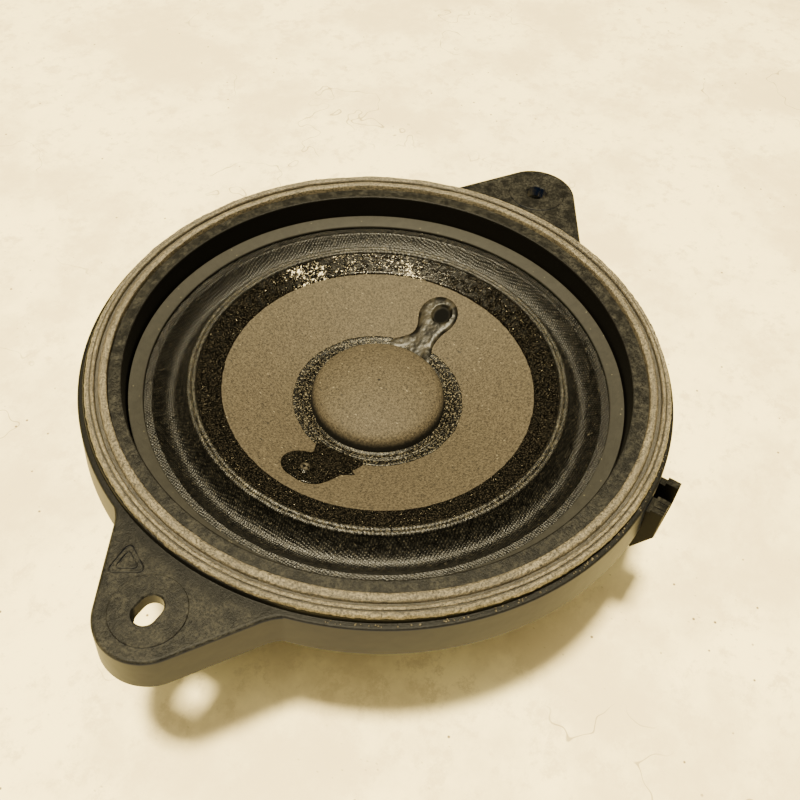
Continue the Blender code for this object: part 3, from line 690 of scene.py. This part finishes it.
def basket_profile():
    skirt_in = FLANGE_LOW_R - SKIRT_WALL
    under = Z_LEDGE - PLATE
    corners = [
        (BORE_R, Z_SHELF, 0.35), (RIM_TOP_R, Z_SHELF, 0.4), (RIM_TOP_R, Z_LEDGE, 0.15),
        (FLANGE_TOP_R, Z_LEDGE, 0.45), (FLANGE_LOW_R, Z_SKIRT, 0.4), (skirt_in, Z_SKIRT, 0.3),
        (skirt_in - 0.4, under, 0.5), (BOWL_R + 0.2, under, 0.5), (BOWL_R, Z_SKIRT, 2.0), (45.1, 31.2, 2.0),
        (31.7, 22.4, 1.5), (28.8, 20.2, 1.5), (22.8, 16.8, 1.5), (22.4, 6.0, 0.5), (19.35, 6.0, 0.3),
        (19.35, 17.35, 0.2), (15.2, 17.35, 0.3), (15.2, 19.0, 0.3), (23.6, 19.0, 0.5), (25.4, 23.4, 0.4),
        (29.6, 23.4, 0.3), (30.2, 24.6, 0.5), (SEAT_R, 33.2, 1.0), (SEAT_R, Z_SEAT, 0.3),
        (BORE_R - 0.1, Z_SEAT, 0.3),
    ]
    return rounded(corners, 0.3)


def mould_mark():
    """Two nested triangle outlines raised beside the slotted hole."""
    marks = []
    for size in (3.8, 2.3):
        corners = [polar(size, 35 + 120 * k) for k in range(3)]
        path = rounded([(x, y, size / 2.2) for x, y in corners], 1.1, 5)
        path = [(x - 59.4, y + 8.5, Z_LEDGE + 0.03) for x, y in path]
        marks.append(smooth(loft("mould_mark", tube_points(path + path[:1], 0.13, 6)), 60))
    return marks


def basket(plastic):
    body = revolve("basket_moulding", basket_profile(), 288)
    for side in (1, -1):
        combine(body, ear(side), "UNION")
    for k in range(6):
        combine(body, prism("window_tool", window_outline(60 * k + 30), 12.0, 33.5))
    combine(body, hole_tool(round_hole_outline(), EAR_X))
    combine(body, hole_tool(slot_outline(), -EAR_X))
    combine(body, box_tool((-0.7, -58.0, 20.0), (8.5, -51.5, 40.0)))
    combine(body, box_tool((1.0, -52.0, 30.0), (6.8, -42.0, 33.9)))
    body.data.materials.clear()
    body.data.materials.append(plastic)
    even_normals(body)
    stand_for(body, BODY_FIXED, "basket")
    for mark in mould_mark():
        mark.data.materials.append(plastic)
        stand_for(mark, BODY_FIXED)


# ------------------------------------------------------------------ front rings

def front_gasket(material):
    """Foam ring of three beads, laid a little off centre, with a ragged outer edge."""
    beads = ((50.5, 52.1, 44.40, 0.35, 1.0), (52.66, 53.5, 44.25, 0.8, 0.4), (53.62, 54.65, 43.95, 0.15, 0.8))
    profile = [(GASKET_IN_R, GASKET_LOW)]
    for inner, outer, crown, drop_in, drop_out in beads:
        middle, half = (inner + outer) / 2, (outer - inner) / 2
        for k in range(11):
            angle = math.pi * (1 - k / 10)
            drop = drop_in if k < 5 else drop_out
            profile.append((middle + half * math.cos(angle), crown - drop * (1 - math.sin(angle) ** 0.8)))
    profile.append((54.6, GASKET_LOW))

    def shape(points):
        r = np.hypot(points[..., 0], points[..., 1])
        broad = fine_noise(points, 5.0, 3.1)
        fine = fine_noise(points, 1.1, 8.4) * 0.5 + fine_noise(points, 0.45, 1.7) * 0.5
        upper = np.clip((points[..., 2] - 43.3) / 0.5, 0, 1)
        points[..., 2] += upper * (0.08 * broad + 0.05 * fine - 0.05)
        edge = np.clip((r - 54.2) / 0.3, 0, 1)
        grow = 1 + (edge * (0.20 * fine - 0.08) + 0.10 * broad * upper) / r
        points[..., :2] *= grow[..., None]
        points[..., :2] += GASKET_SHIFT
        return points

    ring = revolve("front_gasket_foam", profile, 1100, material, shape=shape)
    stand_for(ring, BODY_FIXED, "front_gasket")


def foam_crumbs(material):
    """Crumbs shed by the gasket along one stretch of the rim's ledge."""
    shake = np.random.default_rng(5)
    points, faces = [], []
    for start in range(0, 90 * 6, 6):
        x, y = polar(shake.uniform(54.9, 55.4), shake.uniform(205.0, 285.0))
        size = shake.uniform(0.09, 0.26)
        for axis in range(3):
            for sign in (-1, 1):
                corner = [x, y, Z_LEDGE + 0.8 * size]
                corner[axis] += sign * size * shake.uniform(0.6, 1.0)
                points.append(corner)
        for a, b, c in np.ndindex(2, 2, 2):
            faces.append((start + a, start + 2 + b, start + 4 + c))
    stand_for(mesh_object("foam_crumbs", points, faces, material), BODY_FIXED)


def clamp_ring(material):
    corners = [(RING_IN_R, RING_IN_Z, 0.25), (RING_OUT_R, RING_OUT_Z, 0.2), (RING_OUT_R, 36.9, 0.1),
               (RING_IN_R, 36.9, 0.1)]

    def shape(points):
        points[..., 2] += 0.04 * fine_noise(points, 8.0)
        return points

    ring = revolve("clamp_ring", rounded(corners, 0.2), 360, material, shape=shape)
    stand_for(ring, BODY_FIXED, "surround_clamp_ring")


def surround_middle():
    """Middle line of the surround sheet: land on the cone, lip, inverted half roll, outer flange."""
    points = [(r, float(cone_z(r)) - 0.3) for r in (LAND_R, LIP_R - 0.6)]
    for ridge_r in (LIP_R - 0.1, LIP_R + 0.75):
        for k in range(7):
            x, y = polar(0.40, 160 - 140 * k / 6)
            points.append((ridge_r + x, 38.0 + y))
    for k in range(25):
        t = k / 24
        points.append((ROLL_IN_R + (ROLL_OUT_R - ROLL_IN_R) * t,
                       ROLL_IN_Z + (ROLL_OUT_Z - ROLL_IN_Z) * t - ROLL_DEPTH * math.sin(math.pi * t ** 0.9)))
    return points + [(43.8, 36.42), (47.1, 36.42)]


def resample(points, spacing):
    """Evenly spaced points along a polyline."""
    points = np.array(points, float)
    lengths = np.concatenate([[0], np.cumsum(np.linalg.norm(np.diff(points, axis=0), axis=1))])
    marks = np.linspace(0, lengths[-1], int(lengths[-1] / spacing) + 2)
    return np.stack([np.interp(marks, lengths, points[:, k]) for k in (0, 1)], 1)


def sheet_profile(middle, thickness):
    """Closed profile of a sheet round its middle line."""
    tangent = np.gradient(middle, axis=0)
    tangent /= np.linalg.norm(tangent, axis=1)[:, None]
    normal = np.stack([-tangent[:, 1], tangent[:, 0]], 1) * thickness / 2
    return np.concatenate([middle + normal, (middle - normal)[::-1]])


def radial_blend(obj):
    """Bakes the piece's placement into its mesh."""
    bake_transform(obj)


def surround(material):
    middle = resample(surround_middle(), 0.18)

    def shape(points):
        points[..., 2] += 0.04 * fine_noise(points, 3.0, 5.0) + 0.015 * fine_noise(points, 1.0, 2.0)
        return points

    roll = revolve("surround_cloth", sheet_profile(middle, 0.30), 420, material, shape=shape)
    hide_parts("surround")
    radial_blend(roll)


# ------------------------------------------------------------------ cone assembly

def cone(material):
    radii = np.concatenate([np.linspace(CONE_NECK_R, CONE_R0, 40),
                            np.linspace(CONE_R0 + 0.5, CONE_EDGE_R, 14)])
    sunk = 0.55 * np.clip((radii - CONE_R0 - 0.3) / 0.6, 0, 1)
    top = list(zip(radii, cone_z(radii) - sunk))
    low = list(zip(radii[::-1], (cone_z(radii) - sunk - PAPER)[::-1]))

    def shape(points):
        points[..., 2] += 0.035 * fine_noise(points, 1.2) + 0.05 * fine_noise(points, 9.0)
        return points

    body = revolve("cone_paper", top + low, 480, material, shape=shape)
    for side in (1, -1):
        hole = arc(side * EYELET_X, 0, 1.0, 0, 345, 23)
        combine(body, prism("eyelet_tool", hole, 28.0, 40.0))
    smooth(body)
    stand_for(body, BODY_MOVING, "cone")


def edge_glue(material):
    """Adhesive ring from the tan paper to the surround's lip, beaded and uneven."""
    radii = np.linspace(CONE_R0 - 0.05, LIP_R - 0.5, 40)
    share = (radii - radii[0]) / (radii[-1] - radii[0])
    thick = 0.28 * np.clip(share / 0.08, 0, 1) ** 0.5
    top = [(r, cone_z(r) + t) for r, t in zip(radii, thick)]
    low = [(r, cone_z(r) - 0.15) for r in radii[::-1]]

    def shape(points):
        r = np.hypot(points[..., 0], points[..., 1])
        upper = points[..., 2] > cone_z(r)
        lumps = 0.025 * fine_noise(points, 1.5, 2.0) + 0.02 * fine_noise(points, 0.6, 4.0)
        points[..., 2] += upper * lumps * np.clip((r - CONE_R0) / 0.6, 0, 1)
        inner = np.clip(1 - (r - CONE_R0) / 1.0, 0, 1)
        points[..., :2] *= (1 + inner * 0.09 * fine_noise(points * (1, 1, 0), 1.6) / r)[..., None]
        return points

    ring = revolve("edge_glue", top + low, 900, material, shape=shape)
    stand_for(ring, BODY_MOVING, "edge_glue_ring")


def dust_cap(material):
    foot, shoulder = 29.75, 33.6
    corners = [(0.0, 36.35), (4.0, 36.15), (8.0, 35.45), (12.4, 33.95, 1.8), (13.3, 31.6, 1.0), (CAP_R, foot)]
    outer = resample(rounded(corners, 2.5, 6, closed=False), 0.35)
    outer[0, 0] = 0.0
    inner = [(max(r - 0.4, 0.0) if z < shoulder else r * 0.985, z - 0.4 * (z > shoulder - 1))
             for r, z in outer[::-1]]
    inner[-1] = (0.0, inner[-1][1])

    def shape(points):
        r = np.hypot(points[..., 0], points[..., 1])
        relief = 0.03 * fine_noise(points, 1.0, 6.0) + 0.06 * fine_noise(points, 7.0, 2.0)
        points[..., 2] += relief * (r > 0.01)
        return points

    cap = revolve("dust_cap_paper", list(map(tuple, outer)) + inner, 300, material, on_axis=True, shape=shape)
    stand_for(cap, BODY_MOVING, "dust_cap")


def cap_bead(material):
    """Adhesive round the cap's foot, with a rolled outer edge."""
    radii = np.linspace(CAP_R - 0.1, CAP_BEAD_R, 44)
    share = (radii - radii[0]) / (radii[-1] - radii[0])
    thick = 0.42 * np.sqrt(np.clip(1 - share ** 6, 0, 1)) + 0.5 * np.clip(1 - share * 7, 0, 1)
    for ridge_r in (14.75, 15.35):
        thick += 0.16 * np.exp(-((radii - ridge_r) / 0.16) ** 2)
    top = [(r, cone_z(r) + t) for r, t in zip(radii, thick)]
    low = [(r, cone_z(r) - 0.1) for r in radii[::-1]]

    def shape(points):
        r = np.hypot(points[..., 0], points[..., 1])
        upper = points[..., 2] > cone_z(r)
        lumps = 0.07 * fine_noise(points, 0.8, 1.0) + 0.10 * fine_noise(points, 2.5, 3.0)
        points[..., 2] += upper * lumps * (r > CAP_R + 0.3)
        outer = np.clip((r - CAP_BEAD_R + 1.0) / 1.0, 0, 1)
        points[..., :2] *= (1 + outer * 0.25 * fine_noise(points * (1, 1, 0), 3.5, 7.0) / r)[..., None]
        return points

    ring = revolve("cap_bead", top + low, 480, material, shape=shape)
    stand_for(ring, BODY_MOVING, "cap_glue_bead")


def blob_distance(x, y, strokes, melt=1.2):
    """Signed distance (negative inside) to tapered strokes that melt into each other."""
    total = np.zeros(np.shape(x))
    for x0, y0, r0, x1, y1, r1 in strokes:
        dx, dy = x1 - x0, y1 - y0
        t = np.clip(((x - x0) * dx + (y - y0) * dy) / max(dx * dx + dy * dy, 1e-9), 0, 1)
        distance = np.hypot(x - x0 - dx * t, y - y0 - dy * t) - (r0 + (r1 - r0) * t)
        total += np.exp(-distance / (melt * 0.35))
    return -melt * 0.35 * np.log(total + 1e-300)


def glue_patch(name, strokes, thick, lumps, material, pit=None, cell=0.17):
    """A blob of adhesive on the cone: a grid trimmed to the blob's outline, domed at its edge."""
    reach = np.array(strokes)
    low = reach[:, [0, 1]].min(0) - 6
    xs = np.arange(low[0] - 2, reach[:, [0, 3]].max() + 6, cell)
    ys = np.arange(low[1] - 4, reach[:, [1, 4]].max() + 6, cell)
    x, y = np.meshgrid(xs, ys, indexing="ij")
    distance = blob_distance(x, y, strokes)
    centre = (distance[:-1, :-1] + distance[1:, 1:] + distance[1:, :-1] + distance[:-1, 1:]) / 4
    inside = centre < 0
    used = np.zeros(x.shape, bool)
    full = np.zeros(x.shape, int)
    for di in (0, 1):
        for dj in (0, 1):
            used[di:x.shape[0] - 1 + di, dj:x.shape[1] - 1 + dj] |= inside
            full[di:x.shape[0] - 1 + di, dj:x.shape[1] - 1 + dj] += inside
    border = used & (full < 4)
    for _ in range(3):
        gx, gy = np.gradient(blob_distance(x, y, strokes), cell)
        move = blob_distance(x, y, strokes) / np.maximum(np.hypot(gx, gy), 0.3)
        x = np.where(border, x - gx * move * 0.8, x)
        y = np.where(border, y - gy * move * 0.8, y)
    depth = np.clip(-blob_distance(x, y, strokes), 0, 1.4) / 1.4
    base = cone_z(np.hypot(x, y))
    flat = np.stack([x, y, np.zeros(x.shape)], -1)
    top = base + thick * np.sqrt(1 - (1 - depth) ** 2)
    top += np.minimum(depth * 3, 1) * lumps * (fine_noise(flat, 1.6, 4.0) + 0.5 * fine_noise(flat, 0.6, 9.0))
    if pit:
        hollow = np.clip(1 - (np.hypot(x - pit[0], y - pit[1]) / pit[2]) ** 2, 0, 1)
        top -= pit[3] * np.sqrt(hollow)
    top = np.maximum(top, base + 0.02)
    number = -np.ones(x.shape, int)
    number[used] = np.arange(used.sum())
    count = int(used.sum())
    points = np.concatenate([np.stack([x, y, top], -1)[used], np.stack([x, y, base - 0.12], -1)[used]])
    faces = []
    edges = {}
    for i, j in np.argwhere(inside):
        quad = (number[i, j], number[i + 1, j], number[i + 1, j + 1], number[i, j + 1])
        faces.append(quad)
        faces.append(tuple(count + k for k in quad[::-1]))
        for a, b in zip(quad, quad[1:] + quad[:1]):
            if edges.pop((b, a), None) is None:
                edges[(a, b)] = True
    faces += [(a, count + a, count + b, b) for a, b in edges]
    return smooth(mesh_object(name, points, faces, material), 50)


def lead_dabs(clear, dark):
    """Adhesive over the two lead eyelets, each joined to the cap's bead by a neck."""
    strokes = [(24.2, 1.1, 4.1, 24.2, 1.1, 4.1), (22.0, 0.9, 2.9, 16.0, 0.9, 2.4),
               (17.0, 2.6, 1.6, 14.4, 5.2, 1.6), (16.0, -0.6, 1.6, 14.6, -2.2, 1.4)]
    patch = glue_patch("lead_dab_clear_glue", strokes, 0.65, 0.07, clear, pit=(24.4, 0.4, 2.1, 0.9))
    stand_for(patch, BODY_MOVING, "lead_dab_clear")
    strokes = [(-23.3, 1.0, 4.1, -23.6, -1.0, 3.9), (-21.5, -2.4, 3.0, -16.6, -2.2, 3.4),
               (-19.4, -5.0, 1.6, -19.1, -7.2, 0.35), (-17.0, -5.6, 1.2, -15.6, -6.0, 1.0),
               (-18.0, 0.6, 1.6, -15.8, 2.2, 1.2)]
    patch = glue_patch("lead_dab_dark_glue", strokes, 0.5, 0.07, dark, pit=(*KNOB_AT, 1.5, -0.65))
    stand_for(patch, BODY_MOVING, "lead_dab_dark")


def eyelets(material):
    top = float(cone_z(EYELET_X))
    corners = [(0.45, top - 0.6), (0.9, top - 0.6), (0.9, top - 1.3), (1.5, top - 1.3), (1.5, top - 1.65),
               (0.45, top - 1.65)]
    for name, side in (("positive", 1), ("negative", -1)):
        rivet = revolve("eyelet_" + name + "_rivet", rounded(corners, 0.12, 3), 40, material)
        rivet.location.x = side * EYELET_X * MM
        stand_for(rivet, BODY_MOVING, "eyelet_" + name)


def glue_bead(name, node, inner, outer, low, high, material):
    corners = [(inner, high, 0.2), (inner + 0.5, high - 0.1, 0.3), (outer, low + 0.1, 0.2), (inner, low, 0.1)]

    def shape(points):
        r = np.hypot(points[..., 0], points[..., 1])
        swell = 0.12 * fine_noise(points, 1.6, 2.0) * np.clip((r - inner) * 3, 0, 1)
        points[..., :2] *= (1 + swell / r)[..., None]
        return points

    stand_for(revolve(name, rounded(corners, 0.2), 240, material, shape=shape), BODY_MOVING, node)


# ------------------------------------------------------------------ motor, spider and leads

def motor(steel, former):
    corners = [(0, 4.0), (14.4, 4.0, 0.3), (14.4, 17.0, 0.3), (19.0, 17.0, 0.3), (19.0, 0.0, 1.2), (0, 0.0)]
    cup = revolve("motor_cup", rounded(corners, 0.3, closed=False), 192, steel, on_axis=True)
    stand_for(cup, BODY_FIXED, "yoke_cup")
    corners = [(12.5, 29.2), (12.9, 29.2), (12.9, 10.5), (12.5, 10.5)]
    sleeve = revolve("coil_former", rounded(corners, 0.08, 2), 192, former)
    stand_for(sleeve, BODY_MOVING, "voice_coil_former")


def spider(material):
    inner, flat_in = 13.2, 24.6
    middle = [(inner, 24.0)]
    for i in range(61):
        t = i / 60
        middle.append((inner + 0.8 + (flat_in - inner - 0.8) * t, 24.0 + 0.8 * math.sin(6 * math.pi * t)))
    middle.append((29.2, 24.0))

    def shape(points):
        points[..., 2] += 0.05 * fine_noise(points, 2.5, 4.0)
        return points

    disc = revolve("spider_cloth", sheet_profile(resample(middle, 0.4), 0.4), 360, material, shape=shape)
    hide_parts("spider")
    radial_blend(disc)


def tinsel_lead(name, side, x_end, material):
    """Braided lead: strands wound both ways round a slack loop."""
    route = [(side * EYELET_X, 0.0, 31.3), (side * 25.0, -1.0, 30.2), (side * 26.4, -5.0, 28.9),
             (side * 25.6, -13.0, 28.2), (side * 20.6, -23.5, 28.6), (side * 13.5, -31.5, 30.4),
             ((side * 8.0 + x_end) / 2, -36.4, 32.0), (x_end, -39.5, 32.6)]
    path = spline(route, 300)
    points, faces = [], []
    for strand in range(6):
        turn = 1 if strand % 2 else -1
        coil = []
        for i, ring in enumerate(tube_points(path, 0.27, 24)):
            coil.append(ring[int(strand * 4 + turn * i * 0.8) % 24])
        rings = tube_points(coil, 0.13, 5)
        start = len(points)
        points += [p for ring in rings for p in ring]
        faces += [tuple(start + k for k in face) for face in grid_faces(len(rings), 5, False, True)]
        faces += [tuple(start + k for k in range(5)), tuple(len(points) - 5 + k for k in range(5))]
    lead = smooth(mesh_object("tinsel_lead_" + name + "_braid", points, faces, material), 60)
    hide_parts("tinsel_lead_" + name)
    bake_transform(lead)


# ------------------------------------------------------------------ connector

def connector(plastic):
    """Socket under the flange: hooded roof with a latch notch, tapered underside."""
    def outline(inset):
        corners = [(-59.0 + inset, 40.5 - inset), (-59.0 + inset, 33.4 + inset * 0.4),
                   (-56.0, 27.8 + inset), (-53.0, 27.8 + inset), (-50.4 - inset, 30.5),
                   (-50.4 - inset, 38.9 - inset), (-51.9 - inset, 38.9), (-51.9 - inset, 39.7 - inset),
                   (-56.6, 39.7 - inset), (-56.6, 40.5 - inset)]
        return corners

    ease = 0.18
    rings = []
    for x, inset in ((-0.4, ease), (-0.4 + ease, 0.0), (8.2 - ease, 0.0), (8.2, ease)):
        rings.append([(x, y, z) for y, z in outline(inset)])
    shell = loft("connector_socket", rings)
    combine(shell, box_tool((0.6, -60.0, 34.4), (7.2, -52.9, 38.9)))
    combine(shell, box_tool((3.1, -60.0, 36.0), (6.5, -54.6, 42.0)))
    for x in (2.4, 5.4):
        combine(shell, box_tool((x - 0.7, -53.0, 31.6), (x + 0.7, -50.0, 37.5)))
    for x in (0.5, 1.9):
        combine(shell, box_tool((x - 0.25, -59.5, 40.28), (x + 0.25, -57.0, 41.0)))
    bevel = shell.modifiers.new("ease", "BEVEL")
    bevel.width = 0.08 * MM
    bevel.segments = 2
    bevel.limit_method = "ANGLE"
    apply_modifiers(shell)
    shell.data.materials.clear()
    shell.data.materials.append(plastic)
    even_normals(shell)
    stand_for(shell, BODY_FIXED, "connector_shell")


# ------------------------------------------------------------------ studio

# Photograph's viewpoint: where the camera is, and how its view is turned
CAMERA_AT = (-105.9, -64.6, 177.6)
CAMERA_HEADING_DEG, CAMERA_DOWN_DEG, CAMERA_ROLL_DEG = 60.65, 49.82, 4.92
CAMERA_LENS = 43.4


def camera():
    heading = math.radians(CAMERA_HEADING_DEG)
    down, roll = math.radians(CAMERA_DOWN_DEG), math.radians(CAMERA_ROLL_DEG)
    along = math.cos(down)
    forward = Vector((math.sin(heading) * along, math.cos(heading) * along, -math.sin(down)))
    level = Vector((math.cos(heading), -math.sin(heading), 0.0))
    upright = level.cross(forward)
    right = math.cos(roll) * level + math.sin(roll) * upright
    up = math.cos(roll) * upright - math.sin(roll) * level
    data = bpy.data.cameras.new("camera")
    data.lens = CAMERA_LENS
    data.clip_start, data.clip_end = 0.01, 10.0
    obj = bpy.data.objects.new("camera", data)
    bpy.context.scene.collection.objects.link(obj)
    turn = Matrix((right, up, -forward)).transposed().to_4x4()
    obj.matrix_world = Matrix.Translation(Vector(CAMERA_AT) * MM) @ turn
    bpy.context.scene.camera = obj


def floor(material):
    half = 2500.0
    plane = mesh_object("table", [(-half, -half, 0), (half, -half, 0), (half, half, 0), (-half, half, 0)],
                        [(0, 1, 2, 3)], material)


def area_light(name, direction, distance, size, power, colour):
    """A square lamp that looks at the driver from a direction."""
    data = bpy.data.lights.new(name, "AREA")
    data.shape = "SQUARE"
    data.size = size
    data.energy = power
    data.color = colour
    obj = bpy.data.objects.new(name, data)
    bpy.context.scene.collection.objects.link(obj)
    towards = Vector(direction).normalized()
    obj.location = towards * distance
    obj.rotation_euler = towards.to_track_quat("Z", "Y").to_euler()


def studio():
    warm = (1.0, 0.87, 0.56)
    area_light("lamp", (-0.16, -0.014, 1.0), 1.4, 0.15, 114.0, warm)
    area_light("ceiling", (-0.30, -0.12, 1.0), 1.5, 0.9, 16.0, warm)
    area_light("far_lamp", (0.11, 0.15, 0.98), 1.8, 0.10, 2.0, warm)
    world = bpy.data.worlds.new("room")
    bpy.context.scene.world = world
    world.use_nodes = True
    background = world.node_tree.nodes["Background"]
    background.inputs["Color"].default_value = (0.95, 0.82, 0.54, 1.0)
    background.inputs["Strength"].default_value = 0.38


def repaint(node, material):
    """Gives a CAD node that stays in view its finished material."""
    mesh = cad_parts[node].data
    mesh.materials.clear()
    mesh.materials.append(material)


def main():
    # The basket's outer walls get a painted cool wall tone.
    plastic = moulded_plastic("moulded_plastic", (0.0013, 0.0036, 0.0125))
    glossy, clear, fine_paper = black_glue(), clear_glue(), paper()
    steel = metal("zinc_steel", (0.42, 0.41, 0.38), (0.60, 0.58, 0.54), 0.35)
    brass = metal("tinned_brass", (0.50, 0.36, 0.14), (0.72, 0.55, 0.27), 0.3)
    copper = metal("coil_copper", (0.45, 0.16, 0.06), (0.75, 0.34, 0.16), 0.3, 0.2, (0.02, 0.02, 1.0))
    tinsel = metal("tinsel_copper", (0.50, 0.24, 0.12), (0.80, 0.48, 0.30), 0.35)
    solder = metal("solder_metal", (0.50, 0.50, 0.48), (0.75, 0.75, 0.72), 0.25)
    nickel = metal("nickel_plate", (0.55, 0.54, 0.50), (0.70, 0.69, 0.65), 0.25)
    basket(plastic)
    tan_foam = foam()
    front_gasket(tan_foam)
    foam_crumbs(tan_foam)
    clamp_ring(ring_plastic())
    surround(coated_cloth())
    cone(fine_paper)
    edge_glue(glossy)
    # The cap's wall gets painted shade below 32 to 33.6 mm.
    dust_cap(paper("cap_paper", 32.0, 33.6))
    speckled = speckled_glue()
    cap_bead(speckled)
    lead_dabs(clear, glossy)
    eyelets(brass)
    glue_bead("neck_bead", "neck_glue_bead", 13.0, 14.4, 27.0, 28.5, clear)
    glue_bead("spider_bead", "spider_glue_bead", 13.0, 13.9, 24.5, 25.6, clear)
    motor(steel, former_sheet())
    spider(spider_cloth())
    for name, side, x_end in (("positive", 1, 5.4), ("negative", -1, 2.4)):
        tinsel_lead(name, side, x_end, tinsel)
        repaint("terminal_pin_" + name, brass)
        repaint("lead_solder_" + name, solder)
    # The connector's plastic gets a painted cool wall tone, and painted shade, black, in the box of its
    # notch.
    connector(moulded_plastic("connector_plastic", (0.0006, 0.0008, 0.0016), 0.05, (3.1, 6.5, -54.6)))
    repaint("voice_coil_winding", copper)
    repaint("magnet_disc", nickel)
    repaint("pole_plate", steel)
    floor(table_top())
    studio()
    camera()


main()
